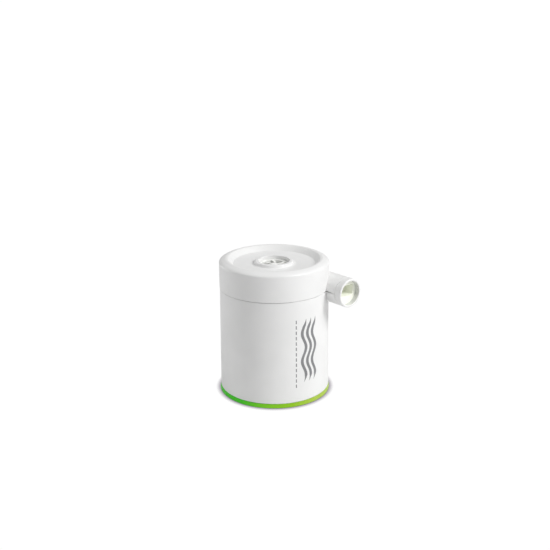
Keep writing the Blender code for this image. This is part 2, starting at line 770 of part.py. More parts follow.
def make_battery(skins, parent):
    """Two cells side by side, the link between their lower ends and a tab on each upper end."""
    for name, side in (("battery_cell_left", 1), ("battery_cell_right", -1)):
        profile = [
            (0, 0),
            (CELL_R - 0.5, 0),
            (CELL_R, 0.5),
            (CELL_R, CELL_LENGTH - 1.2),
            (CELL_R - 0.5, CELL_LENGTH - 0.7),
            (3.2, CELL_LENGTH - 0.7),
            (3.2, CELL_LENGTH),
            (0, CELL_LENGTH),
        ]
        where = (CELL_X, CELL_Y * side, CELL_BOTTOM_Z)
        placed(name, turned(profile, 24), skins["cell"], parent, where)
    link = box((-3.5, -CELL_Y - 4, 0), (3.5, CELL_Y + 4, 0.3))
    placed("battery_link", link, skins["nickel"], parent, (CELL_X, 0, CRADLE_FLOOR_Z + GAP))
    for name, side in (("battery_tab_positive", 1), ("battery_tab_negative", -1)):
        tab = box((-14.0, -2.2, 0), (3.0, 2.2, 0.3))
        placed(name, tab, skins["nickel"], parent, (CELL_X, CELL_Y * side, CELL_TOP_Z + GAP))


def make_cradle(skins, parent):
    """The frame on the base cover that holds the cells, the motor's sleeve and the control board."""
    low, floor, high = BODY_BOTTOM_Z, CRADLE_FLOOR_Z, 60.0
    cell_angle = math.degrees(math.atan2(CELL_Y, CELL_X))
    cells = [(math.hypot(CELL_X, CELL_Y), cell_angle * side) for side in (-1, 1)]
    cradle = placed("battery_cradle", cylinder(33.0, low, floor, 40), skins["frame"], parent)
    join(cradle, pegs(cells, CELL_R + 1.7, low + 0.2, high, 28), tube(14, 18.0, 36.0, 56.0, 36))
    rib_sides = [side * BOARD_SCREW_Y for side in (-1, 1)]
    ribs = [box((-28.5, y - 1.8, low + 0.4), (-14.0, y + 1.8, 56.4)) for y in rib_sides]
    join(cradle, gathered(ribs))
    cut(cradle, pegs(cells, CELL_R + 0.4, floor - 0.1, 70, 28), cylinder(16.3, floor - 0.1, 70, 36))
    for side in (-1, 1):
        near, far = sorted((side * (CELL_Y + 2), side * (CELL_Y + 20)))
        cut(cradle, box((CELL_X - 6.5, near, 8), (CELL_X + 6.5, far, 52)))
    pilots = [along_x(cylinder(1.35, -30, -20, 10), (0, y, BOARD_SCREW_Z)) for y in rib_sides]
    link_slot = box((CELL_X - 4, -CELL_Y - 5, floor - 0.1), (CELL_X + 4, CELL_Y + 5, 5.6))
    cut(cradle, gathered(pilots), tube(37.2, 45, 0, 7.7, 40), link_slot)


# Controls


def make_board(skins, root):
    """The control board with its two screws, the switch's body, the lamps and the larger components."""
    back = BOARD_X + BOARD_THICK
    front = BOARD_X - GAP
    board = placed("control_board", box((BOARD_X, -17, 8), (back, 17, 62)), skins["board"], root)
    hole_places = [(0, BOARD_SCREW_Y * side, BOARD_SCREW_Z) for side in (-1, 1)]
    cut(board, gathered([along_x(cylinder(1.5, -34, -26, 12), place) for place in hole_places]))
    for number, side in enumerate((-1, 1), 1):
        where = (BOARD_X - GAP - 1.0, BOARD_SCREW_Y * side, BOARD_SCREW_Z)
        placed(f"board_screw_{number}", along_x(small_screw()), skins["steel"], root, where)
    switch_shape = box((-34.2, -3.1, BUTTON_Z - 3.1), (front, 3.1, BUTTON_Z + 3.1))
    switch = placed("switch_body", switch_shape, skins["chip"], root)
    cut(switch, along_x(cylinder(2.1, -36, -31.9, 16), (0, 0, BUTTON_Z)))
    for number, y in enumerate((-LAMP_PITCH, 0, LAMP_PITCH), 1):
        lamp = box((-31.8, -1.0, -0.8), (front, 1.0, 0.8))
        placed(f"charge_lamp_{number}", lamp, skins["lamp"], root, (0, y, LAMP_Z))
    placed("charge_controller", box((-31.8, 6, 40), (front, 11, 45)), skins["chip"], root)
    placed("board_inductor", box((-33.4, -13, 18), (front, -7, 24)), skins["chip"], root)


def make_light_guide(skins, root):
    """A bar with three rods that carry the lamps' light out through the body's wall."""
    bar = box((-38.0, -LAMP_PITCH - 1.6, -1.6), (-36.6, LAMP_PITCH + 1.6, 1.6))
    guide = placed("light_guide", bar, skins["lamp"], root, (0, 0, LAMP_Z))
    rods = [along_x(cylinder(1.0, -41.1, -32.3, 12), (0, y * LAMP_PITCH, LAMP_Z)) for y in (-1, 0, 1)]
    join(guide, gathered(rods))


def make_socket(skins, root):
    """The charging socket: a flattened tube with a tongue inside."""
    tube_shape = prism(rounded_rectangle(1.63, 4.47, 1.6, 4), -39.3, BOARD_X - GAP)
    socket = placed("charging_socket", along_x(tube_shape, (0, 0, PORT_Z)), skins["nickel"], root)
    cut(socket, along_x(prism(rounded_rectangle(1.28, 4.12, 1.25, 4), -45, -34.0), (0, 0, PORT_Z)))
    join(socket, box((-38.6, -3.3, PORT_Z - 0.35), (-33.5, 3.3, PORT_Z + 0.35)))


def make_button(skins, slide):
    """The button, with a flange that the wall keeps in, and the switch's plunger, which moves with it."""
    placed("switch_plunger", along_x(cylinder(1.75, 6.4, 9.0, 14)), skins["chip"], slide)
    cap_profile = [
        (0, 0),
        (4.6, 0.15),
        (BUTTON_R - 0.6, 0.5),
        (BUTTON_R, 1.1),
        (BUTTON_R, 4.4),
        (8.0, 4.4),
        (8.0, 5.4),
        (2.2, 5.4),
        (2.2, 6.1),
        (0, 6.1),
    ]
    placed("power_button", along_x(turned(cap_profile, 32)), skins["shell"], slide)


def make_flap(skins, hinge):
    """The rubber flap: a curved plate, a lip for the socket, and a strap up to its barrel and pins."""
    outline = rounded_rectangle(FLAP_HALF_HEIGHT, FLAP_HALF_WIDTH, 1.7)
    plate = along_x(prism(outline, -4, 0.3), (0, 0, PORT_Z - FLAP_AXIS_Z))
    flap = placed("port_flap", plate, skins["rubber"], hinge)
    keep(flap, cylinder(41.8, 0, 30, 64))
    lip = along_x(prism(rounded_rectangle(2.4, 5.4, 1.1), -40.6, -39.7), (0, 0, PORT_Z))
    strap = box((-41.2, -2.9, PORT_Z + 3.4), (-40.35, 2.9, FLAP_AXIS_Z))
    join(flap, lip, strap, along_y(cylinder(0.8, -2.9, 2.9, 14), FLAP_AXIS))
    join(flap, along_y(cylinder(0.5, -4.0, 4.0, 8), FLAP_AXIS))


def make_wires(skins, parent):
    """The four wires between the control board, the motor and the battery, soldered at both ends."""
    back = BOARD_X + BOARD_THICK + GAP
    for name, side, skin in (("positive", -1, "red_wire"), ("negative", 1, "black_wire")):
        route = [
            (0, TERMINAL_Y * side, 26.1),
            (0, TERMINAL_Y * side, 20),
            (-12, 6 * side, 17),
            (-21, 6 * side, 20),
            (back, 6 * side, 20),
        ]
        placed(f"motor_wire_{name}", wire(route), skins[skin], parent)
    for name, side, skin in (("positive", 1, "red_wire"), ("negative", -1, "black_wire")):
        route = [
            (CELL_X - 14.3, CELL_Y * side, CELL_TOP_Z - 0.5),
            (-15, 25 * side, 69),
            (-22, 14 * side, 62),
            (-24, 8 * side, 59.5),
            (back, 8 * side, 59.5),
        ]
        placed(f"battery_wire_{name}", wire(route), skins[skin], parent)


def clear_scene():
    for made in list(bpy.data.objects):
        bpy.data.objects.remove(made)


def main():
    clear_scene()
    skins = make_materials()
    root = empty("housing", (0, 0, 0))
    rotor = empty("rotor_axis", (0, 0, 0), root)
    button = empty("button_axis", (BUTTON_FACE_X, 0, BUTTON_Z), root)
    flap = empty("flap_axis", FLAP_AXIS, root)
    make_lower_housing(skins["shell"], root)
    make_upper_housing(skins["shell"], root)
    make_base(skins, root)
    make_cap_screws(skins, root)
    make_spigot(skins, root)
    make_inlet_guard(skins, root)
    make_inlet_seal(skins, root)
    make_volute(skins, root)
    make_impeller(skins, rotor)
    make_motor_stator(skins, root)
    make_rotor(skins, rotor)
    make_battery(skins, root)
    make_cradle(skins, root)
    make_board(skins, root)
    make_light_guide(skins, root)
    make_socket(skins, root)
    make_button(skins, button)
    make_flap(skins, flap)
    make_wires(skins, root)


main()
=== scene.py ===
"""Looks of the air mattress pump: fine shells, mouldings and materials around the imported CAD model.

+Z is up, the outlet points along +X, and the button is at -X. Sizes are millimetres, angles are degrees, and
places come from the CAD nodes' boxes.
"""

import json
import math

import bmesh
import bpy
from mathutils import Matrix, Vector


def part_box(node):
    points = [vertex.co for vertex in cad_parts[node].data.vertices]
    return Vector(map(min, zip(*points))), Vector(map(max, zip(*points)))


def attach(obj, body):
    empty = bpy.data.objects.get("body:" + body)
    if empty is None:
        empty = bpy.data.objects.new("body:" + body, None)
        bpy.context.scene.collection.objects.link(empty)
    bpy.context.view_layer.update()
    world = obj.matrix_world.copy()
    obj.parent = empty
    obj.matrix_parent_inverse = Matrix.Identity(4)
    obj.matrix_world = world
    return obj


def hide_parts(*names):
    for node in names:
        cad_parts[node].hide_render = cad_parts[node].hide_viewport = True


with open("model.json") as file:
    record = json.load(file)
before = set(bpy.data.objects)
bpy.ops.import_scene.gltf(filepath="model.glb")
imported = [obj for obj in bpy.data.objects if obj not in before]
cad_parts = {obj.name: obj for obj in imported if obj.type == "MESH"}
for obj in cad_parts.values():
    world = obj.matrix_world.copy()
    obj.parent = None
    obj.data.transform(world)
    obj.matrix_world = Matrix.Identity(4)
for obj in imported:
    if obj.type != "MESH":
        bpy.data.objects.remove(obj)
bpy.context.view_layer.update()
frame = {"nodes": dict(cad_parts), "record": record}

MM = 0.001


def node_box(name):
    """A CAD node's lowest and highest corners, in millimetres."""
    low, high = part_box(name)
    return low / MM, high / MM


# Sizes of the details

FINE = 168  # segments round the body
SHARP_ANGLE = 32  # edges that turn more than this stay crisp
WALL = 2.2
SPLIT_GAP = 0.15  # half of the parting line's width
BODY_TOP_R = 41.3
TONGUE_R = 39.98  # the body's tongue, which stands up inside the cap
TONGUE_HEIGHT = 2.6
BORE_R = 11.75  # the inlet's bore
BORE_LIP_R = 10.2  # the lip that the guard rests on
BORE_TUBE_R = 13.4  # the outside of the tube under the inlet
BORE_TUBE_LOW_Z = 95.0
DISH_UNDER_Z = 97.3  # the cap's underside beside that tube
DISH_EDGE_UNDER_Z = 98.0
CEILING_Z = 99.4  # the cap's underside below its crest
SPIGOT_R = 9.1
ROOT_BORE_R = SPIGOT_R + 0.3
ROOT_START_R = 40.9  # the outlet's root starts inside the housing's wall
RIB_R = 10.0  # the spigot's rib, which the two halves of the root clamp
RIB_START_X = 37.3
RIB_END_X = 38.7
MOUTH_BORE_R = 9.3
MOUTH_DEPTH = 4.4
PASSAGE_HALF_WIDTH = 6.9
PASSAGE_BOTTOM = -3.0
PASSAGE_TOP = 5.1
PASSAGE_CORNER_R = 1.6
PAD_RECESS_Z = 1.5  # the top of the recess in the cover's underside, which holds the pad
BASE_TONGUE_R = 38.9  # the cover's ring, which stands up inside the body's foot
BASE_TONGUE_TOP_Z = 7.4
BASE_SCREW_R = 35.2
BASE_SCREW_ANGLES = (0, 120, 240)
PAD_R = 28
PAD_TOP_Z = 1.2
PAD_GROOVE_Z = 0.25
PAD_RIB_PITCH = 3.1
GUARD_RING_R = 9.7  # the inside of the guard's ring
SPOKES = 6
BUTTON_R = 6.7
LAMP_PITCH = 5.0
BACK_FIT = 0.28  # the gap round the button and the flap
OUTSIDE_X = -46  # where cutters of the housing's back start and end
INSIDE_X = -36
FLAP_AXIS_X = -40.6
FLAP_AXIS_Z = 20.8
FLAP_HALF_WIDTH = 7.2
FLAP_HALF_HEIGHT = 4.3
STRAP_HALF_WIDTH = 2.9
MARK_LOW_Z = 18.5
MARK_HIGH_Z = 68.0
YELLOW_SIDE = 49  # the direction in which the green base turns yellower

# The photograph's view

CAMERA_PLACE = (0.4819, -0.4180, 0.29595)  # metres
CAMERA_TURN = 49
CAMERA_DIP = 17.84
CAMERA_ROLL = -0.39
LENS_MM = 57.9
SENSOR_MM = 36

# Light: the backdrop's brightness as the camera sees it, and the fill that it gives to everything else

BACKDROP = 1.02
FILL = 0.47

# Sizes that the frame gives

cap_low, cap_high = node_box("upper_housing")
body_low, body_high = node_box("lower_housing")
cover_low = node_box("base_cover")[0]
guard_low, guard_high = node_box("inlet_guard")
spigot_low, spigot_high = node_box("outlet_spigot")
button_low, button_high = node_box("power_button")
socket_low, socket_high = node_box("charging_socket")
lamp_low, lamp_high = node_box("charge_lamp_2")

HEIGHT = cap_high.z
CAP_R = -cap_low.y
BODY_FOOT_R = -body_low.y
BODY_FOOT_Z = body_low.z
BASE_R = -cover_low.y
BASE_FOOT_Z = cover_low.z
OUTLET_Y = (spigot_low.y + spigot_high.y) / 2
OUTLET_Z = (spigot_low.z + spigot_high.z) / 2
OUTLET_R = (spigot_high.z - spigot_low.z) / 2
OUTLET_END_X = spigot_high.x
ROOT_END_X = cap_high.x
SPLIT_Z = body_high.z - TONGUE_HEIGHT
BUTTON_Z = (button_low.z + button_high.z) / 2
LAMP_Z = (lamp_low.z + lamp_high.z) / 2
PORT_Z = (socket_low.z + socket_high.z) / 2
GUARD_LOW_Z = guard_low.z
GUARD_HIGH_Z = guard_high.z - 0.2  # the top of its ring, which its hub stands above
GUARD_R = guard_high.x


# Mesh tools. Shapes are bmeshes in millimetres, and become objects in metres.


def finished(bm):
    """Turns every face outwards. The volume's sign catches the shapes that recalculating turns inside out."""
    bmesh.ops.recalc_face_normals(bm, faces=bm.faces)
    if bm.calc_volume(signed=True) < 0:
        bmesh.ops.reverse_faces(bm, faces=bm.faces)
    return bm


def filleted(corners, closed=True, steps=5):
    """A profile whose (x, y, fillet radius) corners are rounded."""
    count = len(corners)
    points = []
    for i, (x, y, radius) in enumerate(corners):
        here = Vector((x, y))
        ends = i in (0, count - 1) and not closed
        if radius <= 0 or ends:
            points.append((x, y))
            continue
        before = Vector(corners[i - 1][:2]) - here
        after = Vector(corners[(i + 1) % count][:2]) - here
        reach = radius / math.tan(before.angle(after) / 2)
        reach = min(reach, before.length * 0.49, after.length * 0.49)
        start = here + before.normalized() * reach
        end = here + after.normalized() * reach
        for step in range(steps + 1):
            t = step / steps
            point = (1 - t) ** 2 * start + 2 * t * (1 - t) * here + t**2 * end
            points.append((point.x, point.y))
    return points


def turned(profile, segments=FINE):
    """A closed (radius, height) outline turned about Z. A radius of 0 lies on the axis."""
    bm = bmesh.new()
    turns = [2 * math.pi * step / segments for step in range(segments)]
    rings = []
    for radius, height in profile:
        if radius <= 1e-6:
            rings.append([bm.verts.new((0, 0, height))] * segments)
            continue
        rings.append([bm.verts.new((radius * math.cos(a), radius * math.sin(a), height)) for a in turns])
    for lower, upper in zip(rings, rings[1:] + rings[:1]):
        for step in range(segments):
            after = (step + 1) % segments
            corners = [lower[step], lower[after], upper[after], upper[step]]
            corners = [v for i, v in enumerate(corners) if v not in corners[:i]]
            if len(corners) > 2:
                bm.faces.new(corners)
    return finished(bm)


def prism(outline, low, high):
    """An (x, y) outline extruded between two heights."""
    bm = bmesh.new()
    bottom = [bm.verts.new((x, y, low)) for x, y in outline]
    top = [bm.verts.new((x, y, high)) for x, y in outline]
    bm.faces.new(bottom[::-1])
    bm.faces.new(top)
    for i in range(len(outline)):
        j = (i + 1) % len(outline)
        bm.faces.new((bottom[i], bottom[j], top[j], top[i]))
    return finished(bm)


def cylinder(radius, low, high, segments=48):
    """A cylinder about Z."""
    return turned([(0, low), (radius, low), (radius, high), (0, high)], segments)


def box(low, high):
    """A box between two corners."""
    (x0, y0, z0), (x1, y1, z1) = low, high
    return prism([(x0, y0), (x1, y0), (x1, y1), (x0, y1)], z0, z1)


def rounded_rectangle(half_width, half_height, radius, steps=8):
    """The (x, y) outline of a rectangle with rounded corners."""
    points = []
    for quarter, (sx, sy) in enumerate(((1, 1), (-1, 1), (-1, -1), (1, -1))):
        for step in range(steps + 1):
            angle = math.radians(90 * (quarter + step / steps))
            x = sx * (half_width - radius) + radius * math.cos(angle)
            y = sy * (half_height - radius) + radius * math.sin(angle)
            points.append((x, y))
    return points


def along_x(bm, offset=(0, 0, 0)):
    """Turns a shape made about Z so that its +Z points along +X, then moves it."""
    for v in bm.verts:
        v.co = Vector((v.co.z, v.co.y, -v.co.x)) + Vector(offset)
    return finished(bm)


def along_y(bm, offset=(0, 0, 0)):
    """Turns a shape made about Z so that its +Z points along +Y, then moves it."""
    for v in bm.verts:
        v.co = Vector((v.co.x, v.co.z, -v.co.y)) + Vector(offset)
    return finished(bm)


def moved(bm, offset):
    """The shape, moved by an offset."""
    bmesh.ops.translate(bm, verts=bm.verts, vec=offset)
    return bm


def gathered(shapes):
    """Several shapes as one, each kept apart."""
    whole = bmesh.new()
    for shape in shapes:
        scratch = bpy.data.meshes.new("scratch")
        shape.to_mesh(scratch)
        shape.free()
        whole.from_mesh(scratch)
        bpy.data.meshes.remove(scratch)
    return whole


def polar(radius, angle):
    """The x and y of a point at a radius and an angle about Z."""
    return radius * math.cos(math.radians(angle)), radius * math.sin(math.radians(angle))


def new_object(name, bm):
    """Makes an object of a shape, in metres, and frees the shape."""
    mesh = bpy.data.meshes.new(name)
    bmesh.ops.scale(bm, vec=(MM, MM, MM), verts=bm.verts)
    bm.to_mesh(mesh)
    bm.free()
    made = bpy.data.objects.new(name, mesh)
    bpy.context.scene.collection.objects.link(made)
    return made


def settle(made):
    """Applies the object's modifiers to its mesh."""
    bpy.context.view_layer.update()
    graph = bpy.context.evaluated_depsgraph_get()
    mesh = bpy.data.meshes.new_from_object(made.evaluated_get(graph))
    made.modifiers.clear()
    made.data = mesh
    return made


def combine(made, operation, *shapes):
    """Cuts, joins or intersects the object with each shape in turn."""
    for shape in shapes:
        tool = new_object("tool", shape)
        modifier = made.modifiers.new(operation, "BOOLEAN")
        modifier.operation = operation
        modifier.object = tool
        modifier.solver = "MANIFOLD"
        settle(made)
        bpy.data.objects.remove(tool)
    return made


def bevelled(made, width, angle):
    """Rounds the edges that turn more than an angle."""
    modifier = made.modifiers.new("Bevel", "BEVEL")
    modifier.width = width * MM
    modifier.segments = 2
    modifier.limit_method = "ANGLE"
    modifier.angle_limit = math.radians(angle)
    return settle(made)


def piece(made, skin, body, replaces=()):
    """Finishes a piece: smooth shading, material, body and the CAD nodes it stands for."""
    made.data.materials.clear()
    made.data.materials.append(skin)
    made.data.shade_smooth()
    made.data.set_sharp_from_angle(angle=math.radians(SHARP_ANGLE))
    weighted = made.modifiers.new("Weighted normals", "WEIGHTED_NORMAL")
    weighted.keep_sharp = True
    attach(made, body)
    if replaces:
        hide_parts(*replaces)
    return made


# Materials


def feed(tree, socket, value):
    """Links a socket to a node's output, or gives it a plain value."""
    if isinstance(value, bpy.types.NodeSocket):
        tree.links.new(value, socket)
    else:
        socket.default_value = value


def add_node(tree, kind, inputs=None, **settings):
    """Adds a node, with its settings and its inputs by name or number."""
    node = tree.nodes.new(kind)
    for key, value in settings.items():
        setattr(node, key, value)
    for key, value in (inputs or {}).items():
        feed(tree, node.inputs[key], value)
    return node


class Nodes:
    """A short way to write a material's nodes."""

    def __init__(self, name):
        self.material = bpy.data.materials.new(name)
        self.material.use_nodes = True
        self.tree = self.material.node_tree
        self.shader = self.tree.nodes["Principled BSDF"]
        self.place = self.add("ShaderNodeTexCoord").outputs["Object"]

    def add(self, kind, inputs=None, **settings):
        return add_node(self.tree, kind, inputs, **settings)

    def noise(self, size, detail=3.0, roughness=0.5, stretch=(1, 1, 1)):
        """Noise whose features are about that many millimetres across."""
        scale = [s / (size * MM) for s in stretch]
        mapped = self.add("ShaderNodeMapping", {"Vector": self.place, "Scale": scale})
        inputs = {"Vector": mapped.outputs["Vector"], "Scale": 1.0, "Detail": detail, "Roughness": roughness}
        return self.add("ShaderNodeTexNoise", inputs).outputs["Fac"]

    def spread(self, value, low, high):
        """A 0 to 1 value, mapped from its middle range to low and high."""
        inputs = {"Value": value, "From Min": 0.3, "From Max": 0.7, "To Min": low, "To Max": high}
        return self.add("ShaderNodeMapRange", inputs).outputs["Result"]

    def blend(self, share, first, second):
        """A share from 0 to 1 between two colours."""
        return self.add("ShaderNodeMix", {0: share, 6: first, 7: second}, data_type="RGBA").outputs[2]

    def bump(self, height, depth):
        """A bump of that many millimetres."""
        inputs = {"Height": height, "Strength": 1.0, "Distance": depth * MM}
        return self.add("ShaderNodeBump", inputs).outputs["Normal"]

    def set(self, **values):
        """Sets or links the shader's inputs."""
        for key, value in values.items():
            feed(self.tree, self.shader.inputs[key.replace("_", " ")], value)
        return self.material


def shade(colour, factor):
    """A colour made lighter or darker."""
    return (*[min(1.0, c * factor) for c in colour], 1.0)


def plastic(name, colour, roughness=0.36, grain=0.35, depth=0.006, variation=0.03):
    """A moulded plastic: a fine eroded grain, slow changes of tone, and faint handling marks in the gloss."""
    n = Nodes(name)
    tone = n.spread(n.noise(22, 2), 0.0, 1.0)
    colour_out = n.blend(tone, shade(colour, 1 - variation), shade(colour, 1 + variation * 0.4))
    gloss = n.spread(n.noise(7, 4, 0.6), roughness - 0.05, roughness + 0.06)
    texture = n.bump(n.noise(grain, 2, 0.55), depth)
    return n.set(Base_Color=colour_out, Roughness=gloss, Normal=texture)


def metal(name, colour, roughness=0.3, stretch=(1, 1, 1), depth=0.004, grain=0.5):
    """A plated or drawn metal: brushed or grained, with darker patches in its polish."""
    n = Nodes(name)
    tone = n.spread(n.noise(4, 4, 0.6), 0.0, 1.0)
    colour_out = n.blend(tone, shade(colour, 0.86), shade(colour, 1.06))
    gloss = n.spread(n.noise(grain * 2, 3, 0.6, stretch), roughness - 0.09, roughness + 0.12)
    texture = n.bump(n.noise(grain, 3, 0.6, stretch), depth)
    return n.set(Base_Color=colour_out, Roughness=gloss, Normal=texture, Metallic=1.0)


def rubber(name, colour):
    """A matt rubber with patches of wear in its tone."""
    n = Nodes(name)
    tone = n.spread(n.noise(3, 4, 0.6), 0.0, 1.0)
    colour_out = n.blend(tone, shade(colour, 0.85), shade(colour, 1.1))
    gloss = n.spread(n.noise(1.5, 3), 0.68, 0.85)
    return n.set(Base_Color=colour_out, Roughness=gloss, Normal=n.bump(n.noise(0.25, 2), 0.015))


def lining_with_painted_glow():
    """Thin pale plastic, made paler than the tube's white and given a faint emission: painted light that
    stands for the light that comes through it.
    """
    material = plastic("lining plastic with painted glow", (0.95, 0.965, 0.87), 0.5)
    shader = material.node_tree.nodes["Principled BSDF"]
    shader.inputs["Emission Color"].default_value = (0.9, 0.95, 0.78, 1)
    shader.inputs["Emission Strength"].default_value = 0.045
    return material


def base_plastic():
    """Bright green that turns yellower towards one side."""
    n = Nodes("base plastic")
    direction = (*polar(1 / (CAP_R * MM), YELLOW_SIDE), 0)
    across = n.add("ShaderNodeVectorMath", {0: n.place, 1: direction}, operation="DOT_PRODUCT")
    inputs = {"Value": across.outputs["Value"], "From Min": -1.0, "From Max": 1.0}
    share = n.add("ShaderNodeMapRange", inputs)
    ramp = n.add("ShaderNodeValToRGB", {"Fac": share.outputs["Result"]})
    stops = (
        (0.2, (0.065, 0.68, 0.012)),
        (0.42, (0.21, 0.64, 0.012)),
        (0.65, (0.27, 0.54, 0.009)),
        (0.85, (0.38, 0.54, 0.06)),
    )
    elements = ramp.color_ramp.elements
    while len(elements) < len(stops):
        elements.new(0.5)
    for element, (place, colour) in zip(elements, stops):
        element.position = place
        element.color = (*colour, 1.0)
    gloss = n.spread(n.noise(6, 3), 0.24, 0.34)
    texture = n.bump(n.noise(0.3, 2), 0.004)
    return n.set(Base_Color=ramp.outputs["Color"], Roughness=gloss, Normal=texture, Specular_IOR_Level=0.3)


def circuit_board():
    """Solder mask with tracks under it: a grid of thin raised lines, broken up by noise."""
    n = Nodes("circuit board")
    mapped = n.add("ShaderNodeMapping", {"Vector": n.place, "Scale": (0, 1 / (2.4 * MM), 1 / (3.1 * MM))})
    inputs = {"Vector": mapped.outputs["Vector"], "Scale": 1.0, "Mortar Size": 0.09}
    cells = n.add("ShaderNodeTexBrick", inputs)
    patches = n.spread(n.noise(5, 1), 0.0, 1.0)
    track = n.add("ShaderNodeMath", {0: cells.outputs["Fac"], 1: patches}, operation="MULTIPLY").outputs[0]
    colour = n.blend(track, (0.012, 0.13, 0.05, 1), (0.05, 0.28, 0.10, 1))
    return n.set(Base_Color=colour, Roughness=n.spread(n.noise(2), 0.3, 0.42), Normal=n.bump(track, 0.03))


def make_materials():
    """Every material, by the slot that the record names or by the piece it is for."""
    white = (0.84, 0.84, 0.835)
    return {
        "shell": plastic("shell plastic", white, 0.4),
        "cap": plastic("cap plastic", white, 0.34, 0.4, 0.005),
        "base": base_plastic(),
        "rubber": rubber("rubber", (0.20, 0.205, 0.21)),
        "fan": plastic("fan plastic", (0.85, 0.87, 0.77), 0.42),
        # The guard: a lighter copy of the white plastic, painted light that brightens the inlet's interior.
        "guard": plastic("guard plastic in painted light", (0.93, 0.935, 0.91), 0.36, 0.4, 0.005),
        # The mouth's bore: a grey copy of the tube's white plastic, painted shade that tones down the key
        # light there.
        "mouth": plastic("mouth plastic in painted shade", (0.66, 0.67, 0.64), 0.45),
        "lining": lining_with_painted_glow(),
        "frame": plastic("frame plastic", (0.035, 0.035, 0.04), 0.48, 0.5, 0.012, 0.15),
        "steel": metal("plated steel", (0.58, 0.58, 0.6), 0.3, (1, 1, 0.15)),
        "magnet": metal("ferrite", (0.09, 0.09, 0.1), 0.6, depth=0.02, grain=0.3),
        "copper": metal("copper", (0.72, 0.36, 0.16), 0.32, (0.2, 0.2, 3), 0.05, 0.6),
        "nickel": metal("nickel plate", (0.70, 0.68, 0.64), 0.26),
        "cell": plastic("cell sleeve", (0.03, 0.22, 0.36), 0.28, 1.2, 0.01, 0.08),
        "board": circuit_board(),
        "chip": plastic("moulding compound", (0.03, 0.03, 0.033), 0.55, 0.3, 0.012, 0.2),
        "lamp": plastic("lamp plastic", (0.80, 0.86, 0.78), 0.18, 1.5, 0.003),
        "red_wire": plastic("red insulation", (0.45, 0.02, 0.015), 0.4, 0.8, 0.006, 0.1),
        "black_wire": plastic("black insulation", (0.02, 0.02, 0.02), 0.4, 0.8, 0.006, 0.1),
        "print": plastic("print ink", (0.225, 0.228, 0.235), 0.5, 0.35, 0.006, 0.05),
        "button": plastic("button plastic", (0.78, 0.79, 0.79), 0.3, 0.4, 0.004),
        "flap": rubber("flap rubber", (0.62, 0.63, 0.63)),
    }


# Shells


def root_bore():
    """What the housing's two halves leave open for the spigot."""
    return along_x(cylinder(ROOT_BORE_R, 4.0, ROOT_END_X + 1, 96), (0, OUTLET_Y, OUTLET_Z))


def outlet_passage(start, end):
    """The air passage behind the mouth: a rounded rectangle that is flat underneath."""
    half_height = (PASSAGE_TOP - PASSAGE_BOTTOM) / 2
    outline = rounded_rectangle(half_height, PASSAGE_HALF_WIDTH, PASSAGE_CORNER_R, 6)
    middle_z = OUTLET_Z + (PASSAGE_TOP + PASSAGE_BOTTOM) / 2
    return along_x(prism(outline, start, end), (0, OUTLET_Y, middle_z))


def root_half(side):
    """The housing's half of the outlet's root, with its end rounded over."""
    profile = filleted([(0, 0.5, 0), (OUTLET_R, 0.5, 0), (OUTLET_R, ROOT_END_X, 0.35), (0, ROOT_END_X, 0)])
    root = new_object("root", along_x(turned(profile, 96), (0, OUTLET_Y, OUTLET_Z)))
    low, high = (SPLIT_Z + SPLIT_GAP, SPLIT_Z + 20) if side > 0 else (SPLIT_Z - 20, SPLIT_Z - SPLIT_GAP)
    combine(root, "INTERSECT", box((-5, 0, low), (60, 60, high)))
    combine(root, "DIFFERENCE", cylinder(ROOT_START_R, 50, 110, FINE))
    shape = bmesh.new()
    shape.from_mesh(root.data)
    bmesh.ops.scale(shape, vec=(1 / MM, 1 / MM, 1 / MM), verts=shape.verts)
    bpy.data.objects.remove(root)
    return shape


def parting_relief():
    """A lens-shaped slot where the parting line meets the crease between the body and the outlet's root."""
    outline = [(33.0, -0.42), (38.8, -0.42), (43.0, -0.16), (43.0, 0.16), (38.8, 0.42), (33.0, 0.42)]
    slot = prism(outline, 15.0, 21.6)
    for v in slot.verts:
        v.co = Vector((v.co.x, v.co.z, v.co.y + SPLIT_Z))
    return finished(slot)


def make_body(skin):
    """The drafted body with its tongue, the lower half of the outlet's root, and the openings at its back."""
    top = SPLIT_Z - SPLIT_GAP
    profile = filleted(
        [
            (BODY_FOOT_R, BODY_FOOT_Z, 0.5),
            (BODY_TOP_R, top, 0.45),
            (TONGUE_R, top, 0),
            (TONGUE_R, top + TONGUE_HEIGHT, 0.3),
            (BODY_TOP_R - WALL, top + TONGUE_HEIGHT, 0.3),
            (BODY_FOOT_R - WALL - 0.4, BODY_FOOT_Z, 0.3),
        ],
        steps=3,
    )
    body = new_object("body_shell", turned(profile))
    combine(body, "UNION", root_half(-1))
    combine(body, "DIFFERENCE", root_bore(), parting_relief())
    combine(body, "DIFFERENCE", *back_openings())
    return piece(body, skin, "housing", ["lower_housing"])


def through_back(outline, depth=INSIDE_X):
    """An (x, y) outline as a cutter of the housing's back, from outside it."""
    return along_x(prism(outline, OUTSIDE_X, depth), (0, 0, PORT_Z))


def back_openings():
    """Cutters for the button, the three lamps, and the port with its flap's recess and hinge."""
    button = along_x(cylinder(BUTTON_R + BACK_FIT, OUTSIDE_X, INSIDE_X, 64), (0, 0, BUTTON_Z))
    lamps = [
        along_x(cylinder(1.2, OUTSIDE_X, INSIDE_X, 32), (0, y * LAMP_PITCH, LAMP_Z)) for y in (-1, 0, 1)
    ]
    window = through_back(rounded_rectangle(2.9, 5.9, 1.4))
    outline = rounded_rectangle(FLAP_HALF_HEIGHT + BACK_FIT, FLAP_HALF_WIDTH + BACK_FIT, 2.0)
    recess = through_back(outline, -40.0)
    knuckle = box((OUTSIDE_X, -3.2, PORT_Z + 2.5), (INSIDE_X, 3.2, FLAP_AXIS_Z + 1.4))
    pin = along_y(cylinder(0.8, -4.6, 4.6, 24), (FLAP_AXIS_X, 0, FLAP_AXIS_Z))
    return [button, gathered(lamps), window, recess, knuckle, pin]


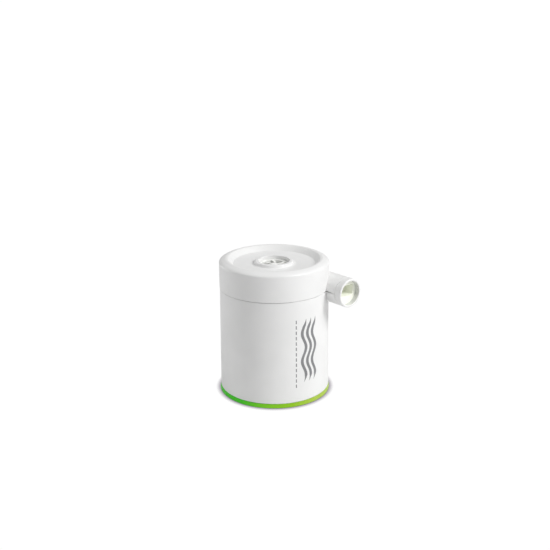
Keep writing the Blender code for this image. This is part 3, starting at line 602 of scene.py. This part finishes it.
def make_cap(skin):
    """The cap: rounded shoulder, dished recess, inlet collar, and the upper half of the outlet's root."""
    low = SPLIT_Z + SPLIT_GAP
    corners = [
        (CAP_R, HEIGHT - 2.35, 1.9),
        (39.4, HEIGHT - 1.05, 1.6),
        (36.6, HEIGHT - 0.02, 1.4),
        (34.9, HEIGHT - 0.3, 0.8),
        (30.9, HEIGHT - 4.1, 0.9),
        (24.0, HEIGHT - 4.6, 3.0),
        (16.8, HEIGHT - 4.8, 1.2),
        (14.8, HEIGHT - 4.5, 1.0),
        (14.1, HEIGHT - 2.2, 0.8),
        (BORE_R, HEIGHT - 2.2, 0.4),
        (BORE_R, GUARD_LOW_Z - 0.3, 0.0),
        (BORE_LIP_R, GUARD_LOW_Z - 0.3, 0.2),
        (BORE_LIP_R, BORE_TUBE_LOW_Z, 0.2),
        (BORE_TUBE_R, BORE_TUBE_LOW_Z, 0.2),
        (BORE_TUBE_R, DISH_UNDER_Z, 0.8),
        (29.6, DISH_EDGE_UNDER_Z, 2.0),
        (33.2, CEILING_Z, 1.5),
        (38.5, CEILING_Z, 1.0),
        (CAP_R - WALL, CEILING_Z - 1.0, 1.0),
        (CAP_R - WALL, low + 3.4, 0.2),
        (40.3, low + 2.8, 0.2),
        (40.3, low, 0.15),
        (CAP_R, low, 0.2),
    ]
    cap = new_object("cap_shell", turned(filleted(corners, steps=4)))
    combine(cap, "UNION", root_half(1))
    combine(cap, "DIFFERENCE", root_bore(), parting_relief())
    return piece(cap, skin, "housing", ["upper_housing"])


def make_base(skins):
    """The green base cover, with a rounded foot and screw wells, and the ribbed rubber pad."""
    top = BODY_FOOT_Z - 0.16
    profile = filleted(
        [
            (0, PAD_RECESS_Z, 0),
            (PAD_R + 0.3, PAD_RECESS_Z, 0.2),
            (PAD_R + 0.3, BASE_FOOT_Z, 0.3),
            (BASE_R - 0.2, BASE_FOOT_Z, 0.15),
            (BASE_R, BASE_FOOT_Z + 0.2, 0.2),
            (BODY_FOOT_R - 0.04, top, 0.2),
            (BASE_TONGUE_R, top, 0),
            (BASE_TONGUE_R, BASE_TONGUE_TOP_Z, 0.3),
            (BASE_TONGUE_R - 1.4, BASE_TONGUE_TOP_Z, 0.3),
            (BASE_TONGUE_R - 1.4, top, 0),
            (0, top, 0),
        ],
        closed=False,
        steps=4,
    )
    cover = new_object("base_ring", turned(profile))
    screws = [(*polar(BASE_SCREW_R, angle), 0) for angle in BASE_SCREW_ANGLES]
    wells = [moved(cylinder(3.0, -1, 2.2, 40), screw) for screw in screws]
    holes = [moved(cylinder(1.65, 0, 5, 24), screw) for screw in screws]
    combine(cover, "DIFFERENCE", gathered(wells), gathered(holes))
    piece(cover, skins["base"], "housing", ["base_cover"])

    groove = PAD_GROOVE_Z
    corners = [(0, groove, 0)]
    for ring in range(1, 9):
        r = PAD_RIB_PITCH * ring
        corners += [(r - 0.6, groove, 0.1), (r - 0.35, 0, 0.1), (r + 0.35, 0, 0.1), (r + 0.6, groove, 0.1)]
    corners += [(26.6, groove, 0.1), (27.0, 0, 0.1), (PAD_R, 0, 0.4)]
    corners += [(PAD_R, PAD_TOP_Z, 0), (0, PAD_TOP_Z, 0)]
    pad = new_object("foot_pad", turned(filleted(corners, closed=False, steps=2), 128))
    piece(pad, skins["rubber"], "housing", ["base_pad"])


def make_spigot(skins):
    """The outlet tube: sleeve, clamped rib, end collar with a rounded rim, and a stepped bore."""
    step_x = OUTLET_END_X - MOUTH_DEPTH
    collar_x = ROOT_END_X + 0.22
    profile = filleted(
        [
            (0, spigot_low.x, 0),
            (SPIGOT_R, spigot_low.x, 0.2),
            (SPIGOT_R, RIB_START_X, 0),
            (RIB_R, RIB_START_X, 0.15),
            (RIB_R, RIB_END_X, 0.15),
            (SPIGOT_R, RIB_END_X, 0),
            (SPIGOT_R, collar_x, 0),
            (OUTLET_R, collar_x, 0.3),
            (OUTLET_R, OUTLET_END_X - 3.0, 0),
            (OUTLET_R, OUTLET_END_X, 0.8),
            (MOUTH_BORE_R, OUTLET_END_X, 0.6),
            (MOUTH_BORE_R, step_x, 0.3),
            (0, step_x, 0),
        ],
        closed=False,
        steps=5,
    )
    spigot = new_object("outlet_tube", along_x(turned(profile, 112), (0, OUTLET_Y, OUTLET_Z)))
    combine(spigot, "DIFFERENCE", outlet_passage(spigot_low.x - 1, OUTLET_END_X + 1))
    piece(spigot, skins["cap"], "housing", ["outlet_spigot"])
    # Inside the tube, the passage gets the lining, with its painted glow, and the mouth's bore gets the grey
    # copy of the white plastic, painted shade.
    spigot.data.materials.append(skins["lining"])
    spigot.data.materials.append(skins["mouth"])
    for face in spigot.data.polygons:
        middle = face.center / MM
        off_axis = math.hypot(middle.y - OUTLET_Y, middle.z - OUTLET_Z)
        if off_axis < MOUTH_BORE_R + 0.02 and spigot_low.x + 0.1 < middle.x < OUTLET_END_X - 0.6:
            face.material_index = 1 if off_axis < MOUTH_BORE_R - 0.1 else 2


def make_guard(skin):
    """The finger guard: a ring, six swept spokes with rounded edges, and a domed hub."""
    low, high = GUARD_LOW_Z, GUARD_HIGH_Z
    corners = [
        (GUARD_RING_R, low, 0.2),
        (GUARD_R, low, 0.2),
        (GUARD_R, high, 0.5),
        (GUARD_RING_R, high, 0.5),
    ]
    guard = new_object("finger_guard", turned(filleted(corners, steps=3), 96))
    spokes = []
    for number in range(SPOKES):
        edges = ([], [])
        for step in range(9):
            share = step / 8
            radius = 1.8 + 8.4 * share
            sweep = 360 / SPOKES * number + 22 * share**1.3
            edges[0].append(polar(radius, sweep - 4.5 * (1 - share)))
            edges[1].append(polar(radius, sweep + 9 + 8 * (1 - share)))
        spokes.append(prism(edges[0] + edges[1][::-1], low + 0.2, high - 0.2))
    side = [(0, low, 0), (2.6, low, 0.2), (2.6, high - 0.1, 0.4)]
    dome = [(1.2, high + 0.19, 0.5), (0, high + 0.2, 0)]
    hub = filleted(side + dome, closed=False)
    combine(guard, "UNION", gathered(spokes), turned(hub, 48))
    bevelled(guard, 0.16, 50)
    piece(guard, skin, "housing", ["inlet_guard"])


# Button and flap


def make_button(skin):
    """The button: a dished face with a raised ring, and the flange and stem behind it."""
    profile = filleted(
        [
            (0, 0.42, 0),
            (2.4, 0.30, 0.5),
            (2.9, 0.12, 0.3),
            (3.4, 0.12, 0.3),
            (3.9, 0.26, 0.5),
            (BUTTON_R - 1.0, 0.05, 0.8),
            (BUTTON_R, 0.7, 0.5),
            (BUTTON_R, 4.4, 0),
            (8.0, 4.4, 0.2),
            (8.0, 5.4, 0.2),
            (2.2, 5.4, 0),
            (2.2, 6.1, 0.2),
            (0, 6.1, 0),
        ],
        closed=False,
        steps=4,
    )
    button = new_object("round_button", along_x(turned(profile, 96), (button_low.x, 0, BUTTON_Z)))
    piece(button, skin, "button", ["power_button"])


def make_flap(skin):
    """The port's rubber flap: a curved plate with a finger lip, a seal, a strap, a barrel and two pins."""
    outline = rounded_rectangle(FLAP_HALF_HEIGHT, FLAP_HALF_WIDTH, 1.7)
    flap = new_object("rubber_flap", along_x(prism(outline, -45, -40.3), (0, 0, PORT_Z)))
    combine(flap, "INTERSECT", cylinder(41.75, 0, 30, FINE))
    grip = along_y(cylinder(0.7, -3.0, 3.0, 32), (-41.15, 0, PORT_Z - FLAP_HALF_HEIGHT + 1.2))
    lip = along_x(prism(rounded_rectangle(2.4, 5.4, 1.1), -40.6, -39.7), (0, 0, PORT_Z))
    strap = box((-41.2, -STRAP_HALF_WIDTH, PORT_Z + 3.4), (-40.35, STRAP_HALF_WIDTH, FLAP_AXIS_Z))
    barrel = along_y(cylinder(0.8, -STRAP_HALF_WIDTH, STRAP_HALF_WIDTH, 32), (FLAP_AXIS_X, 0, FLAP_AXIS_Z))
    pins = along_y(cylinder(0.5, -4.0, 4.0, 24), (FLAP_AXIS_X, 0, FLAP_AXIS_Z))
    combine(flap, "UNION", grip, lip, strap, barrel, pins)
    bevelled(flap, 0.12, 40)
    piece(flap, skin, "flap", ["port_flap"])


# Printed mark


def body_radius(z):
    """The drafted body's outside radius at a height."""
    share = (z - BODY_FOOT_Z) / (SPLIT_Z - BODY_FOOT_Z)
    return BODY_FOOT_R + (BODY_TOP_R - BODY_FOOT_R) * share


def printed_band(centre, thickness, low, high, steps=120):
    """A strip of ink that climbs the body. Functions of height give its centre angle and its thickness."""
    bm = bmesh.new()
    rows = []
    for step in range(steps + 1):
        z = low + (high - low) * step / steps
        radius = body_radius(z)
        half = math.degrees(thickness(z) / 2 / radius)
        row = []
        for across in range(5):
            angle = centre(z) + half * (across / 2 - 1)
            for lift in (0.0, 0.05):
                row.append(bm.verts.new((*polar(radius - 0.02 + lift, angle), z)))
        rows.append(row)
    for lower, upper in zip(rows, rows[1:]):
        for i in range(0, 8, 2):
            bm.faces.new((lower[i + 1], lower[i + 3], upper[i + 3], upper[i + 1]))
            bm.faces.new((lower[i], upper[i], upper[i + 2], lower[i + 2]))
        bm.faces.new((lower[0], lower[1], upper[1], upper[0]))
        bm.faces.new((lower[8], upper[8], upper[9], lower[9]))
    for row in (rows[0], rows[-1]):
        for i in range(0, 8, 2):
            bm.faces.new((row[i], row[i + 2], row[i + 3], row[i + 1]))
    return finished(bm)


def make_mark(skin):
    """The print: three wavy lines of air that taper at their ends, and a fine dashed line beside them."""
    low, high = MARK_LOW_Z, MARK_HIGH_Z

    def wave(middle):
        return lambda z: middle + 2.3 * math.sin(2 * math.pi * (z - low) / 22.0)

    def tapered(z):
        return 2.4 * min(1.0, max(0.12, (z - low) / 5.0), max(0.12, (high - z) / 5.0))

    bands = [printed_band(wave(-3.2 + 6.2 * line), tapered, low, high) for line in (-1, 0, 1)]
    for dash in range(13):
        start = low - 3.5 + dash * 4.2
        bands.append(printed_band(lambda z: -18.5, lambda z: 0.8, start, start + 2.6, 8))
    piece(new_object("air_mark", gathered(bands)), skin, "housing")


# CAD nodes that stay


def dress_nodes(skins):
    """Gives each CAD node that is still shown its material, by the slot that the record names."""
    for entry in frame["record"]["subparts"]:
        node = frame["nodes"][entry["node"]]
        if not node.hide_render:
            node.data.materials.clear()
            node.data.materials.append(skins[entry["material_slot"]])


# Stage


def make_floor():
    """A floor that is matt to the light, and to the camera a plain tone with a painted contact shadow that
    darkens it close to the pump.
    """
    floor = new_object("floor", box((-4000, -4000, -5), (4000, 4000, 0)))
    material = bpy.data.materials.new("floor")
    material.use_nodes = True
    tree = material.node_tree
    tree.nodes.clear()
    # Painted contact shadow: ambient occlusion turns the floor's camera-seen tone to a purple grey within a
    # few millimetres of the pump.
    contact_occlusion = add_node(tree, "ShaderNodeAmbientOcclusion", {"Distance": 0.0065}, samples=24, only_local=False)
    ramp = add_node(tree, "ShaderNodeValToRGB", {"Fac": contact_occlusion.outputs["AO"]})
    painted_shadow, pale = ramp.color_ramp.elements
    painted_shadow.position = 0.48
    painted_shadow.color = (0.17, 0.13, 0.185, 1)
    pale.position = 0.9
    pale.color = (BACKDROP, BACKDROP, BACKDROP, 1)
    seen = add_node(tree, "ShaderNodeEmission", {"Color": ramp.outputs["Color"], "Strength": 1.0})
    matt = add_node(tree, "ShaderNodeBsdfDiffuse", {"Color": (0.8, 0.8, 0.8, 1)})
    ray = add_node(tree, "ShaderNodeLightPath").outputs["Is Camera Ray"]
    mix = add_node(tree, "ShaderNodeMixShader", {0: ray, 1: matt.outputs[0], 2: seen.outputs[0]})
    add_node(tree, "ShaderNodeOutputMaterial", {"Surface": mix.outputs[0]})
    floor.data.materials.append(material)


def area_light(name, angle, elevation, distance, size, energy):
    """A square soft light that faces the middle of the pump."""
    light = bpy.data.lights.new(name, "AREA")
    light.size = size
    light.energy = energy
    lamp = bpy.data.objects.new(name, light)
    bpy.context.scene.collection.objects.link(lamp)
    flat = distance * math.cos(math.radians(elevation))
    target = Vector((0, 0, 0.05))
    lamp.location = target + Vector((*polar(flat, angle), distance * math.sin(math.radians(elevation))))
    lamp.rotation_euler = (target - lamp.location).to_track_quat("-Z", "Y").to_euler()


def make_lights():
    """A white world that is brighter to the camera than to the pump, and three soft lights."""
    world = bpy.data.worlds.new("studio")
    bpy.context.scene.world = world
    world.use_nodes = True
    tree = world.node_tree
    ray = add_node(tree, "ShaderNodeLightPath").outputs["Is Camera Ray"]
    strength = add_node(tree, "ShaderNodeMapRange", {"Value": ray, "To Min": FILL, "To Max": BACKDROP})
    background = tree.nodes["Background"]
    feed(tree, background.inputs["Color"], (1, 1, 1, 1))
    feed(tree, background.inputs["Strength"], strength.outputs["Result"])
    area_light("key", angle=24, elevation=41, distance=1.2, size=0.45, energy=9.8)
    area_light("left rim", angle=-160, elevation=6, distance=1.2, size=0.5, energy=3.9)
    area_light("top", angle=200, elevation=80, distance=1.2, size=0.8, energy=0.5)


def make_camera():
    """The photograph's view: from between +X and -Y, looking a little down."""
    data = bpy.data.cameras.new("camera")
    data.lens = LENS_MM
    data.sensor_width = SENSOR_MM
    data.clip_start = 0.01
    camera = bpy.data.objects.new("camera", data)
    bpy.context.scene.collection.objects.link(camera)
    camera.location = CAMERA_PLACE
    turn = Matrix.Rotation(math.radians(CAMERA_TURN), 4, "Z")
    dip = Matrix.Rotation(math.radians(90 - CAMERA_DIP), 4, "X")
    roll = Matrix.Rotation(math.radians(CAMERA_ROLL), 4, "Z")
    camera.rotation_euler = (turn @ dip @ roll).to_euler()
    bpy.context.scene.camera = camera
    bpy.context.scene.view_settings.view_transform = "Standard"


make_camera()
make_lights()
make_floor()
skins = make_materials()
make_body(skins["shell"])
make_cap(skins["cap"])
make_base(skins)
make_spigot(skins)
make_guard(skins["guard"])
make_button(skins["button"])
make_flap(skins["flap"])
make_mark(skins["print"])
dress_nodes(skins)
